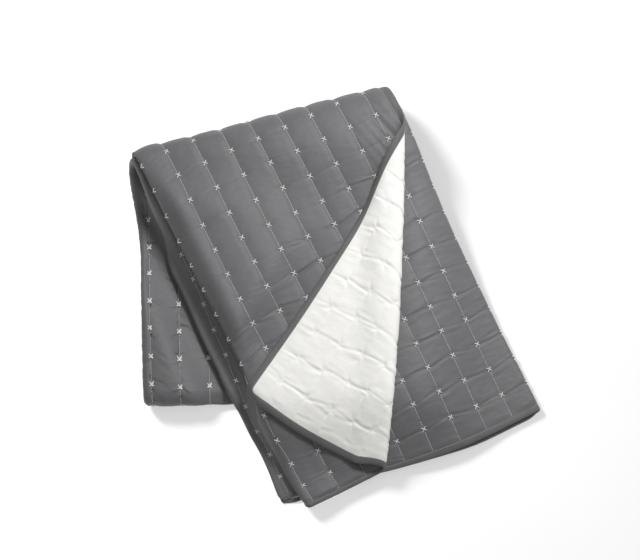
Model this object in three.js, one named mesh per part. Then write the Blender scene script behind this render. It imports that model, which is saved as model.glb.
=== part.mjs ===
import * as THREE from 'three';

// A quilted coverlet of twin size, folded in thirds across its channels and then
// folded twice along its length. One corner of the top layer is turned over, so
// that the pale reverse shows. Millimetres, +Z up, the cloth rests on Z = 0.

// The flat coverlet: u runs across the channels, v along them.
const PITCH = 64;
const SEAMS = 26;
const ROWS = 32;
const SIDE_MARGIN = 58;
const END_MARGIN = 70;
const WIDTH = (SEAMS - 1) * PITCH + 2 * SIDE_MARGIN;
const LENGTH = (ROWS - 1) * PITCH + 2 * END_MARGIN;
const BINDING = 15;
const JOINT = 0.3;

// Thickness, as offsets from the middle of one layer.
const LAYER = 8.5;
const FACE_AT_SEAM = 1.5;
const FACE_AT_CROWN = 3.8;
const BODY_BACK = -1.2;
const REVERSE_FRONT = -1.5;
const REVERSE_BACK = -2.6;

const seam = (number) => SIDE_MARGIN + number * PITCH;
const RIGHT_FOLD_SEAM = seam(6);
const UNDER_SEAM = seam(15);
const LIP_SEAM = seam(16);
const EDGE_SEAM = seam(17);
const QUARTER = Math.PI / 2;

const clamp = (value, low, high) => Math.min(high, Math.max(low, value));
const mix = (a, b, share) => a + (b - a) * share;
const degrees = (angle) => (angle * Math.PI) / 180;

function ease(start, end, value) {
  const t = clamp((value - start) / (end - start), 0, 1);
  return t * t * t * (t * (6 * t - 15) + 10);
}

// The fold in thirds, as the section of the folded strip: p across, w up.
// Each bend is a half turn of radius r whose outermost point is (p, w) at u.
const STRIP_RIGHT = { low: 557, high: 581, rise: 832, most: 590 };
const BULGE = { most: 12, from: 430, full: 800, fades: 860, gone: 1000 };
const MIDDLE_STRETCH = 1.01;

function stripRight(v) {
  const along = (v - END_MARGIN) / STRIP_RIGHT.rise;
  const straight = Math.min(mix(STRIP_RIGHT.low, STRIP_RIGHT.high, along), STRIP_RIGHT.most);
  const bulge = ease(BULGE.from, BULGE.full, v) * (1 - ease(BULGE.fades, BULGE.gone, v));
  return straight + BULGE.most * bulge;
}

// The left side has a lip under its edge, with a groove between. Each row tells how far
// before their seams the lip and the edge turn, and how far out they lie. In the lower
// runs the lip draws in and the groove is a flat pleat inside the pile.
const LEFT_SIDE = [
  { v: 0, lipBefore: 22, lipP: -47, edgeBefore: 19, edgeP: -5 },
  { v: 130, lipBefore: 16, lipP: -41, edgeBefore: 20, edgeP: -13 },
  { v: 230, lipBefore: 16, lipP: -46, edgeBefore: 17, edgeP: -18 },
  { v: 330, lipBefore: 28, lipP: -50, edgeBefore: 3, edgeP: -4 },
  { v: 400, lipBefore: 32, lipP: -48, edgeBefore: 0, edgeP: 3 },
  { v: 620, lipBefore: 38, lipP: -41, edgeBefore: 0, edgeP: 3 },
  { v: 740, lipBefore: 28, lipP: -18, edgeBefore: 0, edgeP: 3 },
  { v: 900, lipBefore: 28, lipP: -7, edgeBefore: 0, edgeP: 3 },
  { v: 1250, lipBefore: 51, lipP: 13, edgeBefore: 0, edgeP: 24 },
];
const LOOSE = { lip: 4.3, groove: 3.9, edge: 3.5 };
const PRESSED = { lip: LAYER / 3, groove: LAYER / 3, edge: LAYER / 3 };
const FREE_EDGE = { above: 590, below: 596 };
const DRAWN_IN = { from: 900, to: 1250 };

function blend(a, b, share) {
  return Object.fromEntries(Object.keys(a).map((key) => [key, mix(a[key], b[key], share)]));
}

function leftSide(v) {
  let row = 0;
  while (row + 2 < LEFT_SIDE.length && v > LEFT_SIDE[row + 1].v) row += 1;
  const share = ease(LEFT_SIDE[row].v, LEFT_SIDE[row + 1].v, v);
  const side = blend(LEFT_SIDE[row], LEFT_SIDE[row + 1], share);
  const lower = ease(DRAWN_IN.from, DRAWN_IN.to, v);
  return {
    lipU: LIP_SEAM - side.lipBefore,
    lipP: side.lipP,
    edgeU: EDGE_SEAM - side.edgeBefore,
    edgeP: side.edgeP,
    freeP: mix(FREE_EDGE.above, FREE_EDGE.below, lower),
    radius: blend(LOOSE, PRESSED, lower),
  };
}

function bendsAt(v) {
  const { lipU, lipP, edgeU, edgeP, radius } = leftSide(v);
  const spare = QUARTER - 1;
  const turned = spare * (radius.lip + 2 * radius.groove + radius.edge);
  const grooveP = (edgeU - lipU - turned + lipP + edgeP) / 2;
  const grooveU = lipU + grooveP - lipP + spare * (radius.lip + radius.groove);
  const lipW = LAYER / 2 + radius.lip;
  const grooveW = lipW + radius.lip + radius.groove;
  const edgeW = grooveW + radius.groove + radius.edge;
  return [
    { u: RIGHT_FOLD_SEAM, p: stripRight(v), w: LAYER, r: LAYER / 2, side: 1, climb: -1 },
    { u: lipU, p: lipP, w: lipW, r: radius.lip, side: -1, climb: 1 },
    { u: grooveU, p: grooveP, w: grooveW, r: radius.groove, side: 1, climb: 1 },
    { u: edgeU, p: edgeP, w: edgeW, r: radius.edge, side: -1, climb: 1 },
  ];
}

// One point of a section, with a straight run from each bend to the next.
function followBends(u, bends, first, last, settling) {
  const ends = [first];
  for (const bend of bends) {
    const half = QUARTER * bend.r;
    if (Math.abs(u - bend.u) < half) {
      const angle = (u - bend.u) / bend.r;
      return {
        p: bend.p - bend.side * bend.r * (1 - Math.cos(angle)),
        w: bend.w + bend.climb * bend.r * Math.sin(angle),
      };
    }
    const inner = bend.p - bend.side * bend.r;
    ends.push({ u: bend.u - half, p: inner, w: bend.w - bend.climb * bend.r });
    ends.push({ u: bend.u + half, p: inner, w: bend.w + bend.climb * bend.r });
  }
  ends.push(last);
  let run = 0;
  while (run < bends.length && u > ends[2 * run + 1].u) run += 1;
  const from = ends[2 * run];
  const to = ends[2 * run + 1];
  const share = (u - from.u) / (to.u - from.u);
  const level = run === bends.length ? ease(0, settling, share) : share;
  return { p: mix(from.p, to.p, share), w: mix(from.w, to.w, level) };
}

const TOP_SETTLES_WITHIN = 0.15;

function sectionPoint(u, v) {
  const first = { u: 0, p: stripRight(v) - RIGHT_FOLD_SEAM * MIDDLE_STRETCH, w: 1.5 * LAYER };
  const last = { u: WIDTH, p: leftSide(v).freeP, w: 2.5 * LAYER };
  return followBends(u, bendsAt(v), first, last, TOP_SETTLES_WITHIN);
}

// The grey face looks to the left of the way that the section runs.
const NEARBY = 0.2;

function section(u, v, n) {
  const at = sectionPoint(u, v);
  const before = sectionPoint(u - NEARBY, v);
  const after = sectionPoint(u + NEARBY, v);
  const size = Math.hypot(after.p - before.p, after.w - before.w);
  return {
    p: at.p - ((after.w - before.w) / size) * n,
    w: at.w + ((after.p - before.p) / size) * n,
  };
}

// Plan of the top run: where its edge seam lies and the way it points.
const along = (angle) => new THREE.Vector2(Math.sin(degrees(angle)), -Math.cos(degrees(angle)));
const across = (angle) => new THREE.Vector2(Math.cos(degrees(angle)), Math.sin(degrees(angle)));
const RUN_ANGLE = 26.7;
const RUN_ORIGIN = new THREE.Vector2(-292.9, 26);
const RUN_ORIGIN_V = 646;
const RUN_SCALE = 0.985;
const RUN_DOWN = along(RUN_ANGLE);
const RUN_ACROSS = across(RUN_ANGLE);

// How far the cloth has slid along the run, away from its end. Each end is drawn in: the
// top layer's by a steady amount, the lower layers' more towards the left, and the lip's
// most of all. The middle layer, the left edge and the under run have slid the other way.
const TOP_DRAWN = { most: 32, reach: 200 };
const HEM_DRAWN = { from: 426, steepness: 0.00059, most: 60, reach: 300 };
const LIP_DRAWN = { least: 28, atEnd: 44, reach: 340 };
const HEM_SLID = { most: 6, from: RIGHT_FOLD_SEAM, full: 480, fades: 560, gone: 760 };
const MIDDLE_SLID = { most: 15, from: 100, full: 500, slant: 0.8, fades: RIGHT_FOLD_SEAM, gone: 560 };
const UNDER_SLID = { most: 11, from: 900, full: 1050 };
const EDGE_SLID = { most: 9, from: 100, full: 350 };
const RIGHT_SLID = { most: 6, from: 500, full: 700, fromU: 1300, fullU: 1560 };

function nearEnd(v, reach) {
  return clamp(1 - v / reach, 0, 1) ** 2;
}

function drawnBack(u, v, p) {
  const hem = Math.min(HEM_DRAWN.steepness * Math.max(HEM_DRAWN.from - p, 0) ** 2, HEM_DRAWN.most);
  const inFold = ease(HEM_SLID.from, HEM_SLID.full, u) * (1 - ease(HEM_SLID.fades, HEM_SLID.gone, u));
  const hemSlid = HEM_SLID.most * nearEnd(v, TOP_DRAWN.reach) * inFold;
  const slanted = v + MIDDLE_SLID.slant * (seam(5) - u);
  const inMiddle = 1 - ease(MIDDLE_SLID.fades, MIDDLE_SLID.gone, u);
  const middleSlid = MIDDLE_SLID.most * ease(MIDDLE_SLID.from, MIDDLE_SLID.full, slanted) * inMiddle;
  const inUnderRun = ease(seam(14), UNDER_SEAM, u);
  const underSlid = UNDER_SLID.most * inUnderRun * ease(UNDER_SLID.from, UNDER_SLID.full, v);
  const lower = hem * nearEnd(v, HEM_DRAWN.reach) - hemSlid - middleSlid - underSlid;
  const lip = LIP_DRAWN.least + LIP_DRAWN.atEnd * nearEnd(v, LIP_DRAWN.reach);
  const end = TOP_DRAWN.most * nearEnd(v, TOP_DRAWN.reach);
  const edge = end - EDGE_SLID.most * ease(EDGE_SLID.from, EDGE_SLID.full, v);
  const inRight = ease(RIGHT_SLID.fromU, RIGHT_SLID.fullU, u);
  const top = end - RIGHT_SLID.most * ease(RIGHT_SLID.from, RIGHT_SLID.full, v) * inRight;
  const toLip = mix(lower, lip, ease(UNDER_SEAM, UNDER_SEAM + 57, u));
  const toEdge = mix(toLip, edge, ease(LIP_SEAM + 7, EDGE_SEAM - 6, u));
  return mix(toEdge, top, ease(EDGE_SEAM + 4, EDGE_SEAM + PITCH, u));
}

// The turned corner: a roll along a slightly bowed line near the edge of the pile.
const TURN = {
  middle: new THREE.Vector2(162.5, -72.5),
  down: along(-3.61),
  half: 373,
  bow: 11,
  wideRadius: 20,
  tightRadius: 10,
  mirror: { top: 52, bottom: 44 },
  fromU: EDGE_SEAM + 30,
  upTo: 900,
};
TURN.out = new THREE.Vector2(-TURN.down.y, TURN.down.x);
const TOP_LAYER_W = 2.5 * LAYER;
const FLAP_ACROSS = new THREE.Vector2(0.84, -0.543);
const FLAP_DOWN = new THREE.Vector2(-0.543, -0.84);
const FLAP_REST = 1.25 * LAYER;
const FLAP_DROP = { depth: 31, within: 260 };
const FLAP_SLIPS_WITHIN = 120;
const FLAP_SETTLES_WITHIN = 110;
const FLAP_HANGS_WITHIN = 100;
const EDGE_RISE = { height: 6.5, within: 110 };

// The fold over the top, askew to the channels: a drawn-out half turn.
const FOLD_ANGLE = 14.7;
const FOLD_ACROSS = across(FOLD_ANGLE);
const FOLD_OUT = new THREE.Vector2(-FOLD_ACROSS.y, FOLD_ACROSS.x);
const FOLD_CREST = new THREE.Vector2(-414, 286);
const FOLD_LOOP = 26;
const FOLD_DRAWN_OUT = 0.42;
const FOLD_FULLER = { most: 11, from: -340, to: 60 };
const FOLD_MIDDLE_W = 1.5 * LAYER;
const FOLD_RISE = 3 * LAYER + FOLD_LOOP;
const FOLD_SET_BACK = 13;
const FOLD_STEPS = 400;

const turnAt = (share) => Math.PI * share - (FOLD_DRAWN_OUT / 2) * Math.sin(2 * Math.PI * share);

function foldTable() {
  const table = [{ turn: 0, out: 0, fall: 0 }];
  for (let step = 1; step <= FOLD_STEPS; step += 1) {
    const before = table[step - 1];
    const turn = turnAt(step / FOLD_STEPS);
    const out = before.out + (Math.cos(turn) + Math.cos(before.turn)) / 2 / FOLD_STEPS;
    const fall = before.fall + (Math.sin(turn) + Math.sin(before.turn)) / 2 / FOLD_STEPS;
    table.push({ turn, out, fall });
  }
  return table;
}

const FOLD = foldTable();
const FOLD_ARC = FOLD_RISE / FOLD[FOLD_STEPS].fall;
const FOLD_REACH = Math.max(...FOLD.map((row) => row.out)) * FOLD_ARC + 1.5 * LAYER;
const FOLD_START = FOLD_CREST.clone().addScaledVector(FOLD_OUT, FOLD_SET_BACK - FOLD_REACH);

function foldAt(arc) {
  const place = clamp(arc / FOLD_ARC, 0, 1) * FOLD_STEPS;
  const row = Math.min(Math.floor(place), FOLD_STEPS - 1);
  const rest = place - row;
  const beyond = Math.max(arc - FOLD_ARC, 0);
  return {
    turn: mix(FOLD[row].turn, FOLD[row + 1].turn, rest),
    out: mix(FOLD[row].out, FOLD[row + 1].out, rest) * FOLD_ARC - beyond,
    fall: mix(FOLD[row].fall, FOLD[row + 1].fall, rest) * FOLD_ARC,
  };
}

// Each layer keeps its own length round the fold: this finds the arc that it has used.
function arcUsed(distance, w) {
  let low = 0;
  let high = distance + Math.PI * FOLD_MIDDLE_W;
  for (let step = 0; step < 40; step += 1) {
    const arc = (low + high) / 2;
    if (arc + (w - FOLD_MIDDLE_W) * foldAt(arc).turn > distance) high = arc;
    else low = arc;
  }
  return (low + high) / 2;
}

// The fold under at the lower edge of the under run, and what carries the top run.
const UNDER_RADIUS = 4;
const UNDER_EDGE = new THREE.Vector2(0, -251);
const UNDER_OUT = new THREE.Vector2(0.02, -1).normalize();
const PILE = 6 * LAYER + 2 * UNDER_RADIUS;
const SLOPE_START = -10;
const SLOPE_END = 230;
const SETTLE_LENGTH = 230;
const SAG = { depth: 30, from: 255, to: 450 };
const SAG_ON_TOP = 0.3;
const PILE_SIDE = { low: 196, narrows: 38, from: -150, over: 550, bend: 1.6 };

function pileRight(y) {
  const share = clamp((y - PILE_SIDE.from) / PILE_SIDE.over, 0, 1);
  return PILE_SIDE.low - PILE_SIDE.narrows * share ** PILE_SIDE.bend;
}

// The whole map: a point of the flat cloth, n from its middle, to its folded place.
function fold(u, v, n) {
  const { p, w: level } = section(u, v, n);
  let w = level;
  const pull = drawnBack(u, v, p);
  const down = RUN_SCALE * (RUN_ORIGIN_V - v) - pull;
  const place = RUN_ORIGIN.clone().addScaledVector(RUN_ACROSS, p).addScaledVector(RUN_DOWN, down);

  const fromTurn = place.clone().sub(TURN.middle);
  const share = clamp((fromTurn.dot(TURN.down) / TURN.half + 1) / 2, 0, 1);
  const radius = mix(TURN.wideRadius, TURN.tightRadius, share);
  const bow = TURN.bow * 4 * share * (1 - share);
  const past = fromTurn.dot(TURN.out) - bow + radius;
  const onTop = u > TURN.fromU && v < TURN.upTo;
  if (onTop && past > 0) {
    const roll = Math.PI * radius;
    const turn = Math.min(past / radius, Math.PI);
    const rest = Math.max(past - roll, 0);
    const offset = w - TOP_LAYER_W;
    const reach = past < roll ? (radius - offset) * Math.sin(turn) : -rest;
    const mirror = mix(TURN.mirror.top, TURN.mirror.bottom, share);
    const slip = (mirror - 2 * bow - (Math.PI - 2) * radius) / FLAP_ACROSS.x;
    place.addScaledVector(TURN.out, reach - past);
    place.addScaledVector(FLAP_ACROSS, slip * ease(0, FLAP_SLIPS_WITHIN, rest));
    place.addScaledVector(FLAP_DOWN, pull * ease(0, FLAP_HANGS_WITHIN, past));
    place.y -= FLAP_DROP.depth * ease(0, FLAP_DROP.within, rest);
    w = TOP_LAYER_W + radius - (radius - offset) * Math.cos(turn);
    w -= (2 * radius - FLAP_REST) * ease(0, FLAP_SETTLES_WITHIN, rest);
    const fromEdge = place.clone().sub(RUN_ORIGIN).dot(RUN_ACROSS);
    w += EDGE_RISE.height * (1 - ease(0, EDGE_RISE.within, fromEdge));
  }

  const beyond = place.clone().sub(FOLD_START).dot(FOLD_OUT);
  const over = beyond > 0;
  const arc = over ? arcUsed(beyond, w) : 0;
  const bend = foldAt(arc);
  const under = over && arc >= FOLD_ARC;
  let z = PILE + FOLD_LOOP + w;
  if (over) {
    const lift = w - FOLD_MIDDLE_W;
    const fuller = FOLD_FULLER.most * ease(FOLD_FULLER.from, FOLD_FULLER.to, place.x);
    const reach = bend.out + (lift + fuller) * Math.sin(bend.turn);
    place.addScaledVector(FOLD_OUT, reach - beyond);
    z = PILE + FOLD_LOOP + FOLD_MIDDLE_W - bend.fall + lift * Math.cos(bend.turn);
  }

  const pastEdge = place.clone().sub(UNDER_EDGE).dot(UNDER_OUT);
  const around = UNDER_RADIUS + 3 * LAYER - (PILE - z);
  const hidden = under && pastEdge > 0;
  const endTurn = hidden ? Math.min(pastEdge / around, Math.PI) : 0;
  if (hidden) {
    const reach = pastEdge < Math.PI * around ? around * Math.sin(endTurn) : Math.PI * around - pastEdge;
    place.addScaledVector(UNDER_OUT, reach - pastEdge);
    z = PILE - 3 * LAYER - UNDER_RADIUS + around * Math.cos(endTurn);
  }

  if (!over) {
    const settled = (FOLD_LOOP - 1) * ease(0, SETTLE_LENGTH, -beyond);
    const onPile = 1 - ease(SLOPE_START, SLOPE_END, pastEdge);
    const offSide = ease(SLOPE_START, SLOPE_END + 10, place.x - pileRight(place.y));
    const off = 1 - onPile * (1 - offSide);
    z -= settled + (PILE + FOLD_LOOP - settled) * off;
    z -= SAG.depth * SAG_ON_TOP * ease(SAG.from, SAG.to, place.y) * (1 - off);
  } else if (!hidden) {
    const share = mix(1, SAG_ON_TOP, (1 + Math.cos(bend.turn)) / 2);
    z -= SAG.depth * share * ease(SAG.from, SAG.to, place.y);
  }
  const { x, y } = place;
  return { x, y, z, beyond, arc, under, pastEdge, endTurn, radius, past: onTop ? past : -1 };
}

// Columns of the flat grid: seams, crowns of the channels that show, and the folds.
function columns() {
  const list = [0, BINDING, BINDING + JOINT];
  for (let number = 0; number < 6; number += 1) {
    list.push(seam(number));
    if (number > 0) list.push(seam(number) + PITCH / 2);
  }
  for (const step of [-6.4, -3, 0, 3, 6.4]) list.push(RIGHT_FOLD_SEAM + step);
  for (const number of [7, 8, 9, 10]) list.push(seam(number));
  for (const number of [11, 12, 13, 14]) list.push(seam(number), seam(number) + PITCH / 2);
  list.push(UNDER_SEAM);
  for (let step = -12; step < 10; step += 1) list.push(LIP_SEAM + 4.6 * step);
  for (const step of [-18, -14.5, -10.5, -5.4, -1.8, 1.8, 5.4]) list.push(EDGE_SEAM + step);
  for (let number = 17; number < 25; number += 1) {
    list.push(seam(number) + PITCH / 2, seam(number + 1));
  }
  list.push(seam(25) + 22, WIDTH - BINDING - JOINT, WIDTH - BINDING, WIDTH);
  return list.sort((a, b) => a - b);
}

// The v at which a measure of the folded cloth reaches a value, on one column.
function vWhere(u, measure, value, within) {
  let [from, to] = within;
  for (let step = 0; step < 30; step += 1) {
    const v = (from + to) / 2;
    if (measure(fold(u, v, 0)) > value) to = v;
    else from = v;
  }
  return (from + to) / 2;
}

// Rows follow the folds on each column, so that all layers bend at the same lines.
const RUN_SHARES = [0.08, 0.17, 0.27, 0.38, 0.5, 0.62, 0.74, 0.85, 0.94];
const BEND_SHARES = [0, 0.16, 0.29, 0.4, 0.5, 0.6, 0.71, 0.84, 1];
const UNDER_SHARES = [0.09, 0.18, 0.28, 0.4, 0.68];
const EDGE_TURNS = [0, 0.2, 0.4, 0.6, 0.8, 1];
const BEND_WITHIN = [500, 1300];
const EDGE_WITHIN = [1200, 1900];
const ALMOST = 1e-4;
const HIDDEN_SHARES = [0.35, 0.7];

function rowsOf(u) {
  const first = BINDING + JOINT;
  const list = [0, BINDING, first];
  const bendV = BEND_SHARES.map((share) => {
    if (share === 0) return vWhere(u, (at) => at.beyond, 0, BEND_WITHIN);
    return vWhere(u, (at) => (at.beyond > 0 ? at.arc : -1), share * FOLD_ARC, BEND_WITHIN);
  });
  for (const share of RUN_SHARES) list.push(mix(first, bendV[0], share));
  list.push(...bendV);
  const edgeV = EDGE_TURNS.map((turn) => {
    if (turn === 0) return vWhere(u, (at) => (at.under ? at.pastEdge : -1), 0, EDGE_WITHIN);
    return vWhere(u, (at) => at.endTurn, (turn - ALMOST) * Math.PI, EDGE_WITHIN);
  });
  for (const share of UNDER_SHARES) list.push(mix(bendV[bendV.length - 1], edgeV[0], share));
  list.push(...edgeV);
  const last = LENGTH - first;
  for (const share of HIDDEN_SHARES) list.push(mix(edgeV[edgeV.length - 1], last, share));
  list.push(last, LENGTH - BINDING, LENGTH);
  return list;
}

// The flat net: its points, its triangles, and cuts along the roll of the turned corner.
function flatNet() {
  const across = columns();
  const points = [];
  const triangles = [];
  const count = rowsOf(0).length;
  for (const u of across) for (const v of rowsOf(u)) points.push({ u, v });
  for (let i = 0; i + 1 < across.length; i += 1) {
    for (let j = 0; j + 1 < count; j += 1) {
      const a = i * count + j;
      const b = a + count;
      const rising = Math.abs(points[b + 1].v - points[a].v) < Math.abs(points[a + 1].v - points[b].v);
      if (rising) triangles.push([a, b, b + 1], [a, b + 1, a + 1]);
      else triangles.push([a, b, a + 1], [b, b + 1, a + 1]);
    }
  }
  return { points, triangles };
}

function cutNet(net, measure) {
  const height = net.points.map((point) => measure(point));
  const made = new Map();
  const between = (a, b) => {
    const key = a < b ? `${a} ${b}` : `${b} ${a}`;
    if (!made.has(key)) {
      const share = height[a] / (height[a] - height[b]);
      const from = net.points[a];
      const to = net.points[b];
      net.points.push({ u: mix(from.u, to.u, share), v: mix(from.v, to.v, share) });
      made.set(key, net.points.length - 1);
    }
    return made.get(key);
  };
  const split = [];
  for (const triangle of net.triangles) {
    const signs = triangle.map((index) => Math.sign(height[index]));
    const lone = [0, 1, 2].find((k) => signs[k] !== signs[(k + 1) % 3] && signs[k] !== signs[(k + 2) % 3]);
    if (signs[0] === signs[1] && signs[1] === signs[2]) {
      split.push(triangle);
      continue;
    }
    const [a, b, c] = [0, 1, 2].map((k) => triangle[(lone + k) % 3]);
    const ab = between(a, b);
    const ac = between(a, c);
    split.push([a, ab, ac], [ab, b, c], [ab, c, ac]);
  }
  net.triangles = split;
}

// A cut is left out where it would pass closer than this to a point of the net.
const NEAR = 1.2;

function rollCut(net, distance) {
  cutNet(net, ({ u, v }) => {
    const at = fold(u, v, 0);
    const height = at.past - distance(at.radius);
    return Math.abs(height) < NEAR ? Math.sign(height) * NEAR || NEAR : height;
  });
}

// A slab on part of the net: both faces, and a wall along every open edge.
function slab(net, keep, front, back) {
  const kept = net.triangles.filter((triangle) => keep(triangle.map((index) => net.points[index])));
  const open = new Map();
  for (const [a, b, c] of kept) {
    for (const [from, to] of [[a, b], [b, c], [c, a]]) {
      if (!open.delete(`${to} ${from}`)) open.set(`${from} ${to}`, [from, to]);
    }
  }
  const order = new Map();
  const positions = [];
  for (const index of kept.flat()) {
    if (order.has(index)) continue;
    order.set(index, positions.length / 6);
    const { u, v } = net.points[index];
    for (const n of [front(u, v), back(u, v)]) {
      const at = fold(u, v, n);
      positions.push(at.x, at.y, settle(at, n));
    }
  }
  const top = (index) => 2 * order.get(index);
  const bottom = (index) => 2 * order.get(index) + 1;
  const faces = [];
  for (const [a, b, c] of kept) {
    faces.push(top(a), top(b), top(c), bottom(a), bottom(c), bottom(b));
  }
  for (const [a, b] of open.values()) {
    const forward = net.points[a].u + net.points[a].v < net.points[b].u + net.points[b].v;
    if (forward) faces.push(top(a), bottom(a), bottom(b), top(a), bottom(b), top(b));
    else faces.push(top(a), bottom(a), top(b), bottom(a), bottom(b), top(b));
  }
  const geometry = new THREE.BufferGeometry();
  geometry.setAttribute('position', new THREE.Float32BufferAttribute(positions, 3));
  geometry.setIndex(faces);
  geometry.computeVertexNormals();
  return geometry;
}

// The lowest layer lies flat on the floor, its channels pressed out.
const FLOOR_REACH = 3;

function settle(at, n) {
  return n > 0 && at.z < FLOOR_REACH ? 0 : at.z;
}

function crownAt(u, v) {
  if (v < BINDING + 1 || v > LENGTH - BINDING - 1) return 0;
  const inChannel = (((u - SIDE_MARGIN) % PITCH) + PITCH) % PITCH;
  const crown = Math.sin((Math.PI * inChannel) / PITCH);
  const puffed = [[seam(1), RIGHT_FOLD_SEAM - 8], [seam(11), UNDER_SEAM], [EDGE_SEAM + 20, seam(25)]];
  return puffed.some(([from, to]) => u > from && u < to) ? crown : 0;
}

const faceOffset = (u, v) => mix(FACE_AT_SEAM, FACE_AT_CROWN, crownAt(u, v));
const inside = ({ u, v }) => {
  const edge = BINDING + JOINT / 2;
  return u > edge && u < WIDTH - edge && v > edge && v < LENGTH - edge;
};
const isPanel = (corners) => corners.every(inside);
const isBinding = (corners) => corners.every((corner) => {
  const near = Math.min(corner.u, WIDTH - corner.u, corner.v, LENGTH - corner.v);
  return near < BINDING + 0.01;
});
const REVERSE_UP_TO = 780;
const showsReverse = (corners) => isPanel(corners)
  && corners.every(({ u, v }) => u > TURN.fromU && v < REVERSE_UP_TO);

const ROLL_TURNS = [0, 0.25, 0.5, 0.75, 1];
const FLAP_SETTLES = [45, FLAP_SETTLES_WITHIN];
const net = flatNet();
for (const share of ROLL_TURNS) rollCut(net, (radius) => Math.PI * radius * share);
for (const rest of FLAP_SETTLES) rollCut(net, (radius) => Math.PI * radius + rest);

const greyCloth = new THREE.MeshStandardMaterial({ color: 0x6f6f72, roughness: 0.62, metalness: 0 });
const paleCloth = new THREE.MeshStandardMaterial({ color: 0xf1f0eb, roughness: 0.85, metalness: 0 });
const greyTape = new THREE.MeshStandardMaterial({ color: 0x777a7a, roughness: 0.7, metalness: 0 });

function cloth(name, geometry, material) {
  const mesh = new THREE.Mesh(geometry, material);
  mesh.name = name;
  return mesh;
}

const coverlet = new THREE.Group();
coverlet.add(
  cloth('quilted_body', slab(net, isPanel, faceOffset, () => BODY_BACK), greyCloth),
  cloth('reverse_panel', slab(net, showsReverse, () => REVERSE_FRONT, () => REVERSE_BACK), paleCloth),
  cloth('edge_binding', slab(net, isBinding, () => FACE_AT_SEAM, () => BODY_BACK), greyTape),
);

// The origin is under the middle of the folded pile.
const box = new THREE.Box3().setFromObject(coverlet);
const middle = box.getCenter(new THREE.Vector3());
for (const piece of coverlet.children) piece.geometry.translate(-middle.x, -middle.y, -box.min.z);

export default coverlet;
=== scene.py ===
import math

import bpy
import numpy as np
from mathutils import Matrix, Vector


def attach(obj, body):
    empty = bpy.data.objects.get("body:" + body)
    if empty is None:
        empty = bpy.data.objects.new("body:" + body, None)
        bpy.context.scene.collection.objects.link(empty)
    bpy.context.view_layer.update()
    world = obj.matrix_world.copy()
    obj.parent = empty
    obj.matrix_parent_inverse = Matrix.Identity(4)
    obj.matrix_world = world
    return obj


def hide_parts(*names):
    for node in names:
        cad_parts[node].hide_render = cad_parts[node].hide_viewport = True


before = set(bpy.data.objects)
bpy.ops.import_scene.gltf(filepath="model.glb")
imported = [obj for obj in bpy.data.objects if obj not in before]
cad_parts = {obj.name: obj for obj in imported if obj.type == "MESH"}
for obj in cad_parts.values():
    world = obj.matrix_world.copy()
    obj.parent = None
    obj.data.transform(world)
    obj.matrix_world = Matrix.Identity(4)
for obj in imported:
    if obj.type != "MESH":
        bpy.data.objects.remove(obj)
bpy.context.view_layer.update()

# The coverlet as it lies: one sheet of 26 sewn channels, folded in thirds across its channels and twice
# along them, with a corner of the top layer turned over. On the flat cloth u runs across the channels
# and v along them. Lengths are in millimetres, and the meshes are made in metres.
PITCH = 64.0
SEAMS = 26
ROWS = 32
SIDE_MARGIN = 58.0
END_MARGIN = 70.0
WIDTH = (SEAMS - 1) * PITCH + 2 * SIDE_MARGIN
LENGTH = (ROWS - 1) * PITCH + 2 * END_MARGIN
LAYER = 8.5
QUARTER = math.pi / 2


def seam(number):
    return SIDE_MARGIN + number * PITCH


def mix(a, b, share):
    return a + (b - a) * share


def ease(start, end, value):
    """Rises smoothly from 0 at the start to 1 at the end."""
    t = np.clip((value - start) / (end - start), 0, 1)
    return t * t * t * (t * (6 * t - 15) + 10)


def between(start, full, fades, gone, value):
    """Rises from 0 at the start to 1 where it is full, and falls to 0 again from fades to gone."""
    return ease(start, full, value) * (1 - ease(fades, gone, value))


RIGHT_FOLD_SEAM = seam(6)
UNDER_SEAM = seam(15)
LIP_SEAM = seam(16)
EDGE_SEAM = seam(17)


# The left side of the pile, from its end to the runs below: how far before their seams the lip and the
# edge of the top layer turn, and how far out they lie.
LEFT_SIDE = [
    {"v": 0, "lip_before": 22, "lip_p": -47, "edge_before": 19, "edge_p": -5},
    {"v": 130, "lip_before": 16, "lip_p": -41, "edge_before": 20, "edge_p": -13},
    {"v": 230, "lip_before": 16, "lip_p": -46, "edge_before": 17, "edge_p": -18},
    {"v": 330, "lip_before": 28, "lip_p": -50, "edge_before": 3, "edge_p": -4},
    {"v": 400, "lip_before": 32, "lip_p": -48, "edge_before": 0, "edge_p": 3},
    {"v": 620, "lip_before": 38, "lip_p": -41, "edge_before": 0, "edge_p": 3},
    {"v": 740, "lip_before": 28, "lip_p": -18, "edge_before": 0, "edge_p": 3},
    {"v": 900, "lip_before": 28, "lip_p": -7, "edge_before": 0, "edge_p": 3},
    {"v": 1250, "lip_before": 51, "lip_p": 13, "edge_before": 0, "edge_p": 24},
]
LOOSE = {"lip_r": 4.3, "groove_r": 3.9, "edge_r": 3.5}
PRESSED = {"lip_r": LAYER / 3, "groove_r": LAYER / 3, "edge_r": LAYER / 3}
FREE_EDGE = (590, 596)
DRAWN_IN = (900, 1250)
STRIP_RIGHT = (557, 581)
STRIP_RIGHT_RISES_OVER = 832
STRIP_RIGHT_MOST = 590
BULGE = 12
BULGE_AT = (430, 800, 860, 1000)


def right_of_strip(v):
    straight = np.minimum(mix(*STRIP_RIGHT, (v - END_MARGIN) / STRIP_RIGHT_RISES_OVER), STRIP_RIGHT_MOST)
    return straight + BULGE * between(*BULGE_AT, v)


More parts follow.
